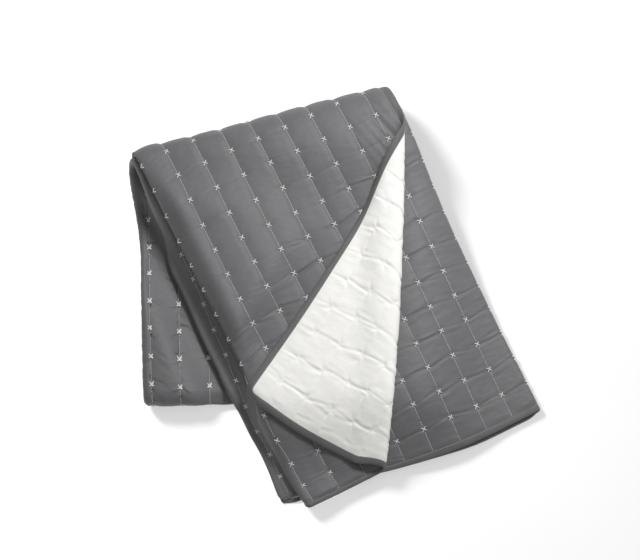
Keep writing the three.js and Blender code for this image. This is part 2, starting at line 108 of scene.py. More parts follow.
def left_side(v):
    lower = ease(*DRAWN_IN, v)
    side = {key: start + 0 * v for key, start in LEFT_SIDE[0].items()}
    for above, below in zip(LEFT_SIDE, LEFT_SIDE[1:]):
        share = ease(above["v"], below["v"], v)
        side = {key: side[key] + (below[key] - above[key]) * share for key in side}
    side["lip_u"] = LIP_SEAM - side["lip_before"]
    side["edge_u"] = EDGE_SEAM - side["edge_before"]
    side["free_p"] = mix(*FREE_EDGE, lower)
    return {**side, **{key: mix(LOOSE[key], PRESSED[key], lower) for key in LOOSE}}


def bends_at(v):
    """The four bends of the section. Each is a half turn of radius r, outermost at (p, w)."""
    left = left_side(v)
    lip_r, groove_r, edge_r = left["lip_r"], left["groove_r"], left["edge_r"]
    spare = QUARTER - 1
    turned = spare * (lip_r + 2 * groove_r + edge_r)
    groove_p = (left["edge_u"] - left["lip_u"] - turned + left["lip_p"] + left["edge_p"]) / 2
    groove_u = left["lip_u"] + groove_p - left["lip_p"] + spare * (lip_r + groove_r)
    lip_w = LAYER / 2 + lip_r
    groove_w = lip_w + lip_r + groove_r
    edge_w = groove_w + groove_r + edge_r
    right_p = right_of_strip(v)
    return [
        {"u": RIGHT_FOLD_SEAM, "p": right_p, "w": LAYER, "r": LAYER / 2, "side": 1, "climb": -1},
        {"u": left["lip_u"], "p": left["lip_p"], "w": lip_w, "r": lip_r, "side": -1, "climb": 1},
        {"u": groove_u, "p": groove_p, "w": groove_w, "r": groove_r, "side": 1, "climb": 1},
        {"u": left["edge_u"], "p": left["edge_p"], "w": edge_w, "r": edge_r, "side": -1, "climb": 1},
    ]


MIDDLE_STRETCH = 1.01
TOP_SETTLES_WITHIN = 0.15
NEARBY = 0.2


def section_point(u, v):
    """A point of the section: p across and w up, with a straight run from each bend to the next."""
    bends = bends_at(v)
    ends = [(0, right_of_strip(v) - RIGHT_FOLD_SEAM * MIDDLE_STRETCH, 1.5 * LAYER)]
    for bend in bends:
        half = QUARTER * bend["r"]
        inner = bend["p"] - bend["side"] * bend["r"]
        ends.append((bend["u"] - half, inner, bend["w"] - bend["climb"] * bend["r"]))
        ends.append((bend["u"] + half, inner, bend["w"] + bend["climb"] * bend["r"]))
    ends.append((WIDTH, left_side(v)["free_p"], 2.5 * LAYER))
    p = np.zeros_like(u)
    w = np.zeros_like(u)
    for run in range(len(bends) + 1):
        start, stop = ends[2 * run], ends[2 * run + 1]
        share = (u - start[0]) / (stop[0] - start[0])
        level = ease(0, TOP_SETTLES_WITHIN, share) if run == len(bends) else share
        here = (u >= start[0]) | (run == 0)
        p = np.where(here, mix(start[1], stop[1], share), p)
        w = np.where(here, mix(start[2], stop[2], level), w)
    for bend in bends:
        angle = (u - bend["u"]) / bend["r"]
        here = np.abs(angle) < QUARTER
        p = np.where(here, bend["p"] - bend["side"] * bend["r"] * (1 - np.cos(angle)), p)
        w = np.where(here, bend["w"] + bend["climb"] * bend["r"] * np.sin(angle), w)
    return p, w


def section(u, v, n):
    p, w = section_point(u, v)
    p_before, w_before = section_point(u - NEARBY, v)
    p_after, w_after = section_point(u + NEARBY, v)
    size = np.hypot(p_after - p_before, w_after - w_before)
    return p - (w_after - w_before) / size * n, w + (p_after - p_before) / size * n


def along(angle):
    return np.array([math.sin(math.radians(angle)), -math.cos(math.radians(angle))])


def across(angle):
    return np.array([math.cos(math.radians(angle)), math.sin(math.radians(angle))])


def left_of(direction):
    return np.array([-direction[1], direction[0]])


# The top run in plan, and the roll of its turned corner.
RUN_ANGLE = 26.7
RUN_ORIGIN = np.array([-292.9, 26.0])
RUN_ORIGIN_V = 646
RUN_SCALE = 0.985
RUN_DOWN = along(RUN_ANGLE)
RUN_ACROSS = across(RUN_ANGLE)
TURN_MIDDLE = np.array([162.5, -72.5])
TURN_DOWN = along(-3.61)
TURN_OUT = left_of(TURN_DOWN)
TURN_HALF = 373.0
TURN_BOW = 11.0
TURN_RADIUS = (20.0, 10.0)
TURN_MIRROR = (52.0, 44.0)
TURN_FROM_U = EDGE_SEAM + 30
TURN_UP_TO = 900
TOP_LAYER_W = 2.5 * LAYER
FLAP_ACROSS = np.array([0.84, -0.543])
FLAP_DOWN = np.array([-0.543, -0.84])
FLAP_REST = 1.25 * LAYER
FLAP_DROP = 31.0
FLAP_DROPS_WITHIN = 260
FLAP_SLIPS_WITHIN = 120
FLAP_SETTLES_WITHIN = 110
FLAP_HANGS_WITHIN = 100
EDGE_RISE = 6.5
EDGE_RISES_WITHIN = 110


def turn_at(place):
    """Where a place lies along the turn, from 0 to 1, with the roll's radius and bow there."""
    share = np.clip(((place - TURN_MIDDLE) @ TURN_DOWN / TURN_HALF + 1) / 2, 0, 1)
    return share, mix(*TURN_RADIUS, share), TURN_BOW * 4 * share * (1 - share)


def past_turn(place):
    _, radius, bow = turn_at(place)
    return (place - TURN_MIDDLE) @ TURN_OUT - bow + radius


def turn_corner(place, w, past, pull, turned):
    """Rolls what lies past the turn over a half turn and back on to the top run."""
    share, radius, bow = turn_at(place)
    roll = math.pi * radius
    turn = np.clip(past / radius, 0, math.pi)
    rest = np.maximum(past - roll, 0)
    offset = w - TOP_LAYER_W
    reach = np.where(past < roll, (radius - offset) * np.sin(turn), -rest)
    slip = (mix(*TURN_MIRROR, share) - 2 * bow - (math.pi - 2) * radius) / FLAP_ACROSS[0]
    moved = place + np.outer(reach - past, TURN_OUT)
    moved += np.outer(slip * ease(0, FLAP_SLIPS_WITHIN, rest), FLAP_ACROSS)
    moved += np.outer(pull * ease(0, FLAP_HANGS_WITHIN, past), FLAP_DOWN)
    moved[:, 1] -= FLAP_DROP * ease(0, FLAP_DROPS_WITHIN, rest)
    risen = TOP_LAYER_W + radius - (radius - offset) * np.cos(turn)
    risen -= (2 * radius - FLAP_REST) * ease(0, FLAP_SETTLES_WITHIN, rest)
    risen += EDGE_RISE * (1 - ease(0, EDGE_RISES_WITHIN, (moved - RUN_ORIGIN) @ RUN_ACROSS))
    return np.where(turned[:, None], moved, place), np.where(turned, risen, w)


# The skewed fold over the top is a drawn-out half turn; the fold under at the lower edge is a round one.
FOLD_ANGLE = 14.7
FOLD_OUT = left_of(across(FOLD_ANGLE))
FOLD_CREST = np.array([-414.0, 286.0])
FOLD_SET_BACK = 13
FOLD_LOOP = 26.0
FOLD_DRAWN_OUT = 0.42
FOLD_MIDDLE_W = 1.5 * LAYER
FOLD_STEPS = np.linspace(0, 1, 401)
FOLD_TURN = math.pi * FOLD_STEPS - FOLD_DRAWN_OUT / 2 * np.sin(2 * math.pi * FOLD_STEPS)
FOLD_FULLER = 11
FOLD_FULLER_AT = (-340, 60)
FOLD_CORNER_SOFT = 12
FOLD_CORNER_AT = (-450, -360)
ARC_HALVINGS = 36


def running_sum(values):
    return np.concatenate([[0], np.cumsum(values[1:] + values[:-1])]) / 2 / (len(values) - 1)


FOLD_ARC = (3 * LAYER + FOLD_LOOP) / running_sum(np.sin(FOLD_TURN))[-1]
FOLD_RUN = running_sum(np.cos(FOLD_TURN)) * FOLD_ARC
FOLD_FALL = running_sum(np.sin(FOLD_TURN)) * FOLD_ARC
FOLD_START = FOLD_CREST + FOLD_OUT * (FOLD_SET_BACK - FOLD_RUN.max() - 1.5 * LAYER)
UNDER_RADIUS = 4.0
UNDER_EDGE = np.array([0.0, -251.0])
UNDER_OUT = np.array([0.02, -1.0]) / math.hypot(0.02, 1)
PILE = 6 * LAYER + 2 * UNDER_RADIUS
SLOPE = (-10, 230)
SIDE_SLOPE = (-10, 240)
SETTLES_WITHIN = 230
SAG = 30
SAG_AT = (255, 450)
SAG_ON_TOP = 0.3
PILE_SIDE = 196
PILE_NARROWS = 38
PILE_NARROWS_FROM = -150
PILE_NARROWS_OVER = 550
PILE_SIDE_BEND = 1.6


def fold_at(arc):
    """The turn, the way out and the fall of the top fold after some length of its arc."""
    share = np.clip(arc / FOLD_ARC, 0, 1)
    beyond = np.maximum(arc - FOLD_ARC, 0)
    turn = np.interp(share, FOLD_STEPS, FOLD_TURN)
    return turn, np.interp(share, FOLD_STEPS, FOLD_RUN) - beyond, np.interp(share, FOLD_STEPS, FOLD_FALL)


def arc_used(distance, w):
    """Each layer keeps its own length round the fold: this finds the arc that it has used."""
    low = np.zeros_like(distance)
    high = distance + math.pi * FOLD_MIDDLE_W
    for _ in range(ARC_HALVINGS):
        arc = (low + high) / 2
        too_far = arc + (w - FOLD_MIDDLE_W) * fold_at(arc)[0] > distance
        high = np.where(too_far, arc, high)
        low = np.where(too_far, low, arc)
    return (low + high) / 2


# How far each layer has slid along the run, away from its end (drawn) or towards it (slid).
TOP_DRAWN = 32
TOP_DRAWN_WITHIN = 200
HEM_DRAWN_STEEPNESS = 0.00059
HEM_DRAWN_FROM = 426
HEM_DRAWN_MOST = 60
HEM_DRAWN_WITHIN = 300
LIP_DRAWN = 28
LIP_DRAWN_AT_END = 44
LIP_DRAWN_WITHIN = 340
HEM_SLID = 6
HEM_SLID_AT = (RIGHT_FOLD_SEAM, 480, 560, 760)
MIDDLE_SLID = 15
MIDDLE_SLID_ALONG = (100, 500)
MIDDLE_SLID_UP_TO = (RIGHT_FOLD_SEAM, 560)
MIDDLE_SLANT = 0.8
UNDER_SLID = 11
UNDER_SLID_ALONG = (900, 1050)
EDGE_SLID = 9
EDGE_SLID_ALONG = (100, 350)
RIGHT_SLID = 6
RIGHT_SLID_ALONG = (500, 700)
RIGHT_SLID_FROM = (1300, 1560)


def near_end(v, reach):
    return np.clip(1 - v / reach, 0, 1) ** 2


def drawn_back(u, v, p):
    """The lower layers are drawn in at their hem, the lip further, and the middle layer and the left
    edge have slid the other way."""
    hem = np.minimum(HEM_DRAWN_STEEPNESS * np.maximum(HEM_DRAWN_FROM - p, 0) ** 2, HEM_DRAWN_MOST)
    lower = hem * near_end(v, HEM_DRAWN_WITHIN)
    lower -= HEM_SLID * near_end(v, TOP_DRAWN_WITHIN) * between(*HEM_SLID_AT, u)
    slanted = v + MIDDLE_SLANT * (seam(5) - u)
    lower -= MIDDLE_SLID * ease(*MIDDLE_SLID_ALONG, slanted) * (1 - ease(*MIDDLE_SLID_UP_TO, u))
    lower -= UNDER_SLID * ease(seam(14), UNDER_SEAM, u) * ease(*UNDER_SLID_ALONG, v)
    lip = LIP_DRAWN + LIP_DRAWN_AT_END * near_end(v, LIP_DRAWN_WITHIN)
    end = TOP_DRAWN * near_end(v, TOP_DRAWN_WITHIN)
    edge = end - EDGE_SLID * ease(*EDGE_SLID_ALONG, v)
    top = end - RIGHT_SLID * ease(*RIGHT_SLID_ALONG, v) * ease(*RIGHT_SLID_FROM, u)
    amount = mix(lower, lip, ease(UNDER_SEAM, UNDER_SEAM + 57, u))
    amount = mix(amount, edge, ease(LIP_SEAM + 7, EDGE_SEAM - 6, u))
    return mix(amount, top, ease(EDGE_SEAM + 4, EDGE_SEAM + PITCH, u))


def lay(u, v, n):
    """Where the fold lines and the pile put a point of the cloth, in plan and in height."""
    p, w = section(u, v, n)
    pull = drawn_back(u, v, p)
    down = RUN_SCALE * (RUN_ORIGIN_V - v) - pull
    place = RUN_ORIGIN + np.outer(p, RUN_ACROSS) + np.outer(down, RUN_DOWN)
    past = past_turn(place)
    turned = (u > TURN_FROM_U) & (v < TURN_UP_TO) & (past > 0)
    place, w = turn_corner(place, w, past, pull, turned)

    beyond = (place - FOLD_START) @ FOLD_OUT
    over = beyond > 0
    arc = arc_used(np.maximum(beyond, 0), w)
    turn, run, fall = fold_at(arc)
    lift = w - FOLD_MIDDLE_W
    fuller = FOLD_FULLER * ease(*FOLD_FULLER_AT, place[:, 0])
    fuller -= FOLD_CORNER_SOFT * (1 - ease(*FOLD_CORNER_AT, place[:, 0]))
    out = run + (lift + fuller) * np.sin(turn) - beyond
    place = place + np.outer(np.where(over, out, 0), FOLD_OUT)
    folded_z = FOLD_MIDDLE_W - fall + lift * np.cos(turn)
    z = PILE + FOLD_LOOP + np.where(over, folded_z, w)

    past_edge = (place - UNDER_EDGE) @ UNDER_OUT
    around = UNDER_RADIUS + 3 * LAYER - (PILE - z)
    hidden = over & (arc >= FOLD_ARC) & (past_edge > 0)
    end_turn = np.clip(past_edge / np.maximum(around, 0.1), 0, math.pi)
    reach = np.where(end_turn < math.pi, around * np.sin(end_turn), math.pi * around - past_edge)
    place = place + np.outer(np.where(hidden, reach - past_edge, 0), UNDER_OUT)
    z = np.where(hidden, PILE - 3 * LAYER - UNDER_RADIUS + around * np.cos(end_turn), z)

    settled = (FOLD_LOOP - 1) * ease(0, SETTLES_WITHIN, -beyond)
    narrowed = np.clip((place[:, 1] - PILE_NARROWS_FROM) / PILE_NARROWS_OVER, 0, 1) ** PILE_SIDE_BEND
    past_side = place[:, 0] - (PILE_SIDE - PILE_NARROWS * narrowed)
    off = 1 - (1 - ease(*SLOPE, past_edge)) * (1 - ease(*SIDE_SLOPE, past_side))
    sag = SAG * ease(*SAG_AT, place[:, 1])
    drop = settled + (PILE + FOLD_LOOP - settled) * off + SAG_ON_TOP * sag * (1 - off)
    sunk = sag * mix(1, SAG_ON_TOP, (1 + np.cos(turn)) / 2)
    return place, z - np.where(over, np.where(hidden, 0, sunk), drop), over


# The free edge of the turned corner, as it lies on the top run.
FLAP_EDGE_V = np.array([60.0, 640.0])
FLAP_NEAR, FLAP_FAR = lay(np.full(2, WIDTH), FLAP_EDGE_V, np.zeros(2))[0]
FLAP_WAY = (FLAP_FAR - FLAP_NEAR) / np.linalg.norm(FLAP_FAR - FLAP_NEAR)


def left_of_flap(place):
    off = place - FLAP_NEAR
    return off[:, 1] * FLAP_WAY[0] - off[:, 0] * FLAP_WAY[1]


# The cloth is soft: the top layer swells beside its left edge, and the layers below it are pressed down
# along the lip. The photo looks down from 74 degrees, so a point that rises also leans towards the near
# side by this share of its rise, and keeps its place in the picture.
LEAN = 0.287
PRESSED_DOWN = 32
PRESSED_ACROSS = (-150, -50, -46, 8)
PRESSED_IN_FULL_FROM = 50
SWELL = 28
SWELL_ACROSS = (EDGE_SEAM - 16, EDGE_SEAM + 44, EDGE_SEAM + 60, EDGE_SEAM + 360)
SWELL_ALONG = (60, 220)
SWELL_FROM_FLAP = (8, 120)
TOP_FOLD_STARTS = (120, 270)
# The middle of the pile's box in plan, which is the origin of the frame.
PILE_MIDDLE = (28.46, -29.05)


def fold(u, v, n):
    """The whole map, from a point of the flat cloth, n from its middle, to its place in metres."""
    u, v, n = (np.array(part, dtype=float).ravel() for part in np.broadcast_arrays(u, v, n))
    place, z, over = lay(u, v, n)
    in_run = (place - RUN_ORIGIN) @ RUN_ACROSS
    before_fold = 1 - ease(*TOP_FOLD_STARTS, place[:, 1])
    pressed = PRESSED_DOWN * between(*PRESSED_ACROSS, in_run) * before_fold
    swell = SWELL * between(*SWELL_ACROSS, u) * ease(*SWELL_ALONG, v) * before_fold
    swell = swell * ease(*SWELL_FROM_FLAP, left_of_flap(place))
    raised = np.where(over, 0, swell) - pressed * np.clip(z / PRESSED_IN_FULL_FROM, 0, 1)
    place = place - np.outer(raised, [0, LEAN])
    return np.column_stack([place - PILE_MIDDLE, np.maximum(z + raised, 0)]) / 1000


# The grey face: brushed cotton sateen over a thin filling. Straight rows of machine stitching sew it
# into channels 64 mm wide, and a cross is worked on each row every 64 mm, so the cloth dips along the
# rows and gathers in creases from each cross to the next.
FACE_AT_SEAM = 1.5
FACE_UNDER_BINDING = 5.0
BINDING = 15.0
CORNER_RADIUS = 26.0
chance = np.random.default_rng(7)
CREASES = 4
CREASE_WIDTH = 3.5
CREASE_TILT = 14
TACK_CREASE_WANDERS = 3
SHORT_CREASE_WANDERS = 26
SHORT_CREASE_SHARE = 0.85
RIDGE_SHARE = 0.5
RIDGE_WIDTH = 2.2
CREASE_DEPTH = chance.uniform(0.35, 1, (CREASES, SEAMS + 1, ROWS + 2))
CREASE_PLACE = chance.uniform(-1, 1, (CREASES, SEAMS + 1, ROWS + 2))
CREASE_SLANT = chance.uniform(-1, 1, (CREASES, SEAMS + 1, ROWS + 2))
CREASE_REACH = chance.uniform(0.3, 0.75, (CREASES, SEAMS + 1, ROWS + 2))
STAR_PHASE = chance.uniform(0, 2 * math.pi, (SEAMS, ROWS))
RUMPLES = chance.uniform(-1, 1, (4, 64, 64))


def rumple(u, v, size_u, size_v, layer):
    """Smooth unevenness from -1 to 1, in patches of the given size."""
    x = np.asarray(u) / size_u + 11.3 * layer
    y = np.asarray(v) / size_v + 7.7 * layer
    i, j = np.floor(x).astype(int), np.floor(y).astype(int)
    a, b = x - i, y - j
    a, b = a * a * (3 - 2 * a), b * b * (3 - 2 * b)
    table = RUMPLES[layer % 4]
    corner = [[table[(i + di) % 64, (j + dj) % 64] for dj in (0, 1)] for di in (0, 1)]
    return mix(mix(corner[0][0], corner[1][0], a), mix(corner[0][1], corner[1][1], a), b)


def channel(u):
    """How far across its channel a point is, and the channel's number, from 0 in the left margin."""
    number = np.clip(np.floor((u - SIDE_MARGIN) / PITCH), -1, SEAMS - 1)
    left = np.where(number < 0, 0, SIDE_MARGIN + number * PITCH)
    right = np.where(number < 0, SIDE_MARGIN, np.where(number == SEAMS - 1, WIDTH, left + PITCH))
    return (u - left) / (right - left), (number + 1).astype(int)


def creases(u, v, slant=0.0, tack_crease=1.0):
    """Valleys across each channel, each with a ridge at both sides. The first of each row runs from a
    cross to the next, and the others start at one seam and fade out before the other."""
    share, number = channel(u)
    row = np.floor((v - END_MARGIN) / PITCH)
    total = np.zeros_like(v)
    for step in (0, 1):
        j = np.clip(row + step, -1, ROWS).astype(int)
        for k in range(CREASES):
            depth = CREASE_DEPTH[k, number, j]
            place = CREASE_PLACE[k, number, j]
            if k == 0:
                start, reach = 0.5, 1.5
                place = place * TACK_CREASE_WANDERS + slant * (share - start)
                place = place * (0.3 + 0.7 * np.sin(math.pi * share))
                depth = depth * tack_crease
            else:
                start, reach = (place > 0) * 1.0, CREASE_REACH[k, number, j]
                place = place * SHORT_CREASE_WANDERS + slant * (share - start)
                depth = depth * SHORT_CREASE_SHARE
            tilt = CREASE_SLANT[k, number, j] * CREASE_TILT * (share - start)
            off = v - (END_MARGIN + j * PITCH + place + tilt)
            width = CREASE_WIDTH * (0.8 + 0.5 * np.abs(share - start))
            valley = (1 + RIDGE_SHARE) * np.exp(-((off / width) ** 2))
            ridges = RIDGE_SHARE * np.exp(-((off / width / RIDGE_WIDTH) ** 2))
            total -= depth * (valley - ridges) * np.exp(-(((share - start) / reach) ** 2))
    return total


def nearest_tack(u, v):
    """The nearest cross, as its seam and its row, and how far a point is from it."""
    i = np.clip(np.round((u - SIDE_MARGIN) / PITCH), 0, SEAMS - 1).astype(int)
    j = np.clip(np.round((v - END_MARGIN) / PITCH), 0, ROWS - 1).astype(int)
    return i, j, u - seam(i), v - (END_MARGIN + j * PITCH)


def from_tack(u, v):
    _, _, du, dv = nearest_tack(u, v)
    return np.hypot(du, dv)


def star(u, v):
    """The small gathers that point away from each cross."""
    i, j, du, dv = nearest_tack(u, v)
    reach = np.hypot(du, dv)
    angle = np.arctan2(dv, du)
    gathers = np.cos(5 * angle + STAR_PHASE[i, j]) * (reach / 8) * np.exp(-reach / 9)
    return 0.9 * gathers - 1.3 * np.exp(-((reach / 8) ** 2))


def under_binding(u, v):
    """1 where the cloth lies under the binding, with its rounded corners, and 0 further in."""
    off_u = np.maximum(np.maximum(CORNER_RADIUS - u, u - (WIDTH - CORNER_RADIUS)), 0)
    off_v = np.maximum(np.maximum(CORNER_RADIUS - v, v - (LENGTH - CORNER_RADIUS)), 0)
    return ease(0, CORNER_RADIUS - BINDING + 3, np.hypot(off_u, off_v))


def leaning_puff(share):
    """A channel that rises from its seam in a long slope and drops into the next in a short one."""
    share = np.clip(share, 0, 1)
    rise = 1 - np.clip(1 - share / 0.58, 0, 1) ** 2.2
    return rise * (1 - np.clip((share - 0.78) / 0.22, 0, 1) ** 2)


# Where the face shows and how it lies there: the top run, the middle layer at its right, and the run
# below at its left. It is gathered along the left edge, by the turned corner and at one place by the fold
# over the top.
TOP_RUN_ACROSS = (EDGE_SEAM - 12, EDGE_SEAM + 20)
TOP_RUN_UP_TO = (1000, 1080)
MIDDLE_ACROSS = (RIGHT_FOLD_SEAM - 12, RIGHT_FOLD_SEAM + 3)
MIDDLE_UP_TO = (820, 900)
UNDER_ACROSS = (600, 700, 1040, 1090)
UNDER_ALONG = (930, 1000, 1600, 1700)
UNDER_HEM = (890, 960)
LEFT_EDGE_ACROSS = (EDGE_SEAM + 50, EDGE_SEAM + 200)
LEFT_EDGE_UP_TO = (420, 600)
BY_FLAP = 55
BY_FLAP_ALONG = (150, 270, 640, 760)
GATHERED_AT = (1655, 700)
GATHERED_WITHIN = (42, 75)
GATHER_PITCH = 3.1
EVEN_PUFF = 2.8
LEANING_PUFF = 2.6
TOP_RUN_PUFF = 1.4
TACK_DIP = 0.8
TACK_DIP_WITHIN = 9


def face_height(u, v):
    """How far the face stands in front of the middle of its layer."""
    u, v = (part.astype(float) for part in np.broadcast_arrays(u, v))
    share, _ = channel(u)
    top_run = ease(*TOP_RUN_ACROSS, u) * (1 - ease(*TOP_RUN_UP_TO, v))
    middle = (1 - ease(*MIDDLE_ACROSS, u)) * (1 - ease(*MIDDLE_UP_TO, v))
    under = between(*UNDER_ACROSS, u) * between(*UNDER_ALONG, v)
    by_edge = top_run * (1 - ease(*LEFT_EDGE_ACROSS, u)) * (1 - ease(*LEFT_EDGE_UP_TO, v))
    place, _, _ = lay(u.ravel(), v.ravel(), np.zeros(u.size))
    by_flap = np.exp(-(np.maximum(left_of_flap(place), 0) / BY_FLAP) ** 2).reshape(u.shape)
    by_flap = by_flap * top_run * between(*BY_FLAP_ALONG, v)
    by_hem = under * ease(*UNDER_HEM, u)
    even = EVEN_PUFF * np.sin(math.pi * np.clip(share, 0, 1)) ** 0.55
    leaning = leaning_puff(share) * (1 - TACK_DIP * np.exp(-((from_tack(u, v) / TACK_DIP_WITHIN) ** 2)))
    leaning = leaning * (LEANING_PUFF + TOP_RUN_PUFF * top_run)
    height = FACE_AT_SEAM + mix(even, leaning, np.maximum(top_run, middle))
    height += (0.3 + 0.4 * top_run + 1.5 * middle + 2.2 * by_flap) * creases(u, v)
    height += 2.2 * by_edge * creases(u, v, 50, 0.7)
    height += 2.2 * by_hem * creases(u, v, -45, 0.7)
    off_u = (u - GATHERED_AT[0]) / GATHERED_WITHIN[0]
    off_v = (v - GATHERED_AT[1]) / GATHERED_WITHIN[1]
    gathered = top_run * np.exp(-(off_u**2) - off_v**2)
    height -= 2.6 * gathered * (1 + np.cos((u + 0.25 * v) / GATHER_PITCH))
    height += 0.7 * star(u, v) * (0.4 + 0.1 * top_run + 0.5 * middle)
    height += 0.35 * rumple(u, v, 38, 11, 0) * (0.2 + middle + under + by_edge + by_flap)
    height += 0.4 * rumple(u, v, 60, 90, 1)
    return mix(np.maximum(height, 0.4), 1.0, under_binding(u, v))


FOLDED_CELL = 8
# Two lines more than the rows ask for: the last two lie past the hem's own lines, so the net turns back
# there, and the hem at the far end, under the pile, is laid three times on the same surface.
ROW_LINES = 65


def net_lines():
    """Lines of the flat net: cells half a channel wide, and narrow ones where the left side folds."""
    half = PITCH / 2
    first = [FACE_UNDER_BINDING, SIDE_MARGIN - half]
    left = np.arange(seam(0), UNDER_SEAM, half)
    folded = np.arange(UNDER_SEAM, EDGE_SEAM - 1, FOLDED_CELL)
    right = np.arange(EDGE_SEAM, seam(SEAMS - 1) + 1, half)
    last = [seam(SEAMS - 1) + half, WIDTH - FACE_UNDER_BINDING]
    start = [FACE_UNDER_BINDING, END_MARGIN - half]
    rows = END_MARGIN + half * np.arange(ROW_LINES)
    end = [LENGTH - END_MARGIN + half, LENGTH - FACE_UNDER_BINDING]
    return np.concatenate([first, left, folded, right, last]), np.concatenate([start, rows, end])


# Steps from a stitched line to the middle between two, crowded where the cloth dips.
NEAR_SEAM = np.array([0, 0.035, 0.08, 0.15, 0.25, 0.39, 0.57, 0.78, 1])
NEAR_ROW = np.array([0, 0.07, 0.145, 0.23, 0.33, 0.45, 0.6, 0.79, 1])


CELL_STEPS = 8
NARROW_CELL = 12


def fine_lines(lines, first, crowded):
    """Eight steps in each cell of the net, drawn towards the stitched line where the cell has one."""
    out = [lines[0]]
    for start, stop in zip(lines, lines[1:]):
        steps = np.linspace(0, 1, CELL_STEPS + 1)
        on_line = abs((start - first) / PITCH - round((start - first) / PITCH)) < 1e-6
        if stop - start > NARROW_CELL:
            steps = crowded if on_line else 1 - crowded[::-1]
        out += list(mix(start, stop, steps[1:]))
    return np.array(out)


def round_corners(u, v):
    """Draws the points of the four corners in, on to a rounded outline."""
    centre = FACE_UNDER_BINDING + CORNER_RADIUS - BINDING / 3
    middle_u = np.clip(u, centre, WIDTH - centre)
    middle_v = np.clip(v, centre, LENGTH - centre)
    off_u, off_v = u - middle_u, v - middle_v
    square = np.maximum(np.abs(off_u), np.abs(off_v))
    shrink = square / np.maximum(np.hypot(off_u, off_v), 1e-9)
    in_corner = (off_u != 0) & (off_v != 0)
    shrink = np.where(in_corner, shrink, 1)
    return middle_u + off_u * shrink, middle_v + off_v * shrink


def cloth_mesh(name, height, step_of_cell):
    """A sheet over the whole coverlet. Each cell of the net has its own fineness, and a coarse
    cell takes up the points of a finer neighbour, so that the sheet has no gaps."""
    lines_u, lines_v = net_lines()
    fine_u = fine_lines(lines_u, SIDE_MARGIN, NEAR_SEAM)
    fine_v = fine_lines(lines_v, END_MARGIN, NEAR_ROW)
    step = step_of_cell(lines_u, lines_v)
    used = np.zeros((len(fine_u), len(fine_v)), bool)
    quads = []
    for (i, j), size in np.ndenumerate(step):
        a = np.arange(CELL_STEPS * i, CELL_STEPS * (i + 1) + 1, size)
        b = np.arange(CELL_STEPS * j, CELL_STEPS * (j + 1) + 1, size)
        used[np.ix_(a, b)] = True
        quads.append(np.stack(np.meshgrid(a[:-1], b[:-1], [size], indexing="ij"), -1).reshape(-1, 3))
    quads = np.concatenate(quads)
    order = np.cumsum(used.ravel()).reshape(used.shape) - 1
    uu, vv = np.meshgrid(fine_u, fine_v, indexing="ij")
    flat_u, flat_v = round_corners(uu[used], vv[used])
    points = fold(flat_u, flat_v, height(flat_u, flat_v))
    faces = []
    for i, j, size in quads:
        if size == 1:
            faces.append((order[i, j], order[i + 1, j], order[i + 1, j + 1], order[i, j + 1]))
            continue
        rim = [(i + k, j) for k in range(size)] + [(i + size, j + k) for k in range(size)]
        rim += [(i + size - k, j + size) for k in range(size)] + [(i, j + size - k) for k in range(size)]
        faces.append([order[at] for at in rim if used[at]])
    return make_mesh(name, points, faces, flat_u, flat_v)


def make_mesh(name, points, faces, flat_u=None, flat_v=None):
    """A smooth piece, with the place on the flat cloth as its texture map where it is given."""
    mesh = bpy.data.meshes.new(name)
    mesh.from_pydata(points.tolist(), [], [[int(corner) for corner in face] for face in faces])
    mesh.shade_smooth()
    if flat_u is not None:
        layer = mesh.uv_layers.new(name="flat")
        corners = np.zeros(len(mesh.loops), dtype=np.int32)
        mesh.loops.foreach_get("vertex_index", corners)
        flat = np.column_stack([flat_u, flat_v])[corners] / 1000
        layer.data.foreach_set("uv", flat.astype(np.float32).ravel())
    piece = bpy.data.objects.new(name, mesh)
    bpy.context.collection.objects.link(piece)
    return piece


def cell_places(lines_u, lines_v):
    """The middle of each cell of the net, on the flat cloth and in plan."""
    u = (lines_u[:-1] + lines_u[1:]) / 2
    v = (lines_v[:-1] + lines_v[1:]) / 2
    uu, vv = np.meshgrid(u, v, indexing="ij")
    at = fold(uu, vv, 0) * 1000 + [*PILE_MIDDLE, 0]
    return uu, vv, at[:, :2].reshape(*uu.shape, 2)


def face_steps(lines_u, lines_v):
    """The step of each cell: 1 where the face shows, 2 in the folds and 4 inside the pile."""
    u, v, place = cell_places(lines_u, lines_v)
    step = np.full(u.shape, 4)
    folds = ((v > 780) & (v < 1060)) | ((v > 1480) & (v < 1720))
    step[folds] = 2
    step[(u > 350) & (u < 540) & (v < 900)] = 2
    past = past_turn(place.reshape(-1, 2)).reshape(u.shape)
    in_run = ((place.reshape(-1, 2) - RUN_ORIGIN) @ RUN_ACROSS).reshape(u.shape)
    step[(u < 480) & (v < 860) & (past > -60)] = 1
    step[(u > EDGE_SEAM) & (v < 980)] = 1
    step[(u > 640) & (u < EDGE_SEAM) & (v > 940) & (v < 1660) & (in_run < 60)] = 1
    step[(u > UNDER_SEAM) & (u < EDGE_SEAM)] = 2
    return step


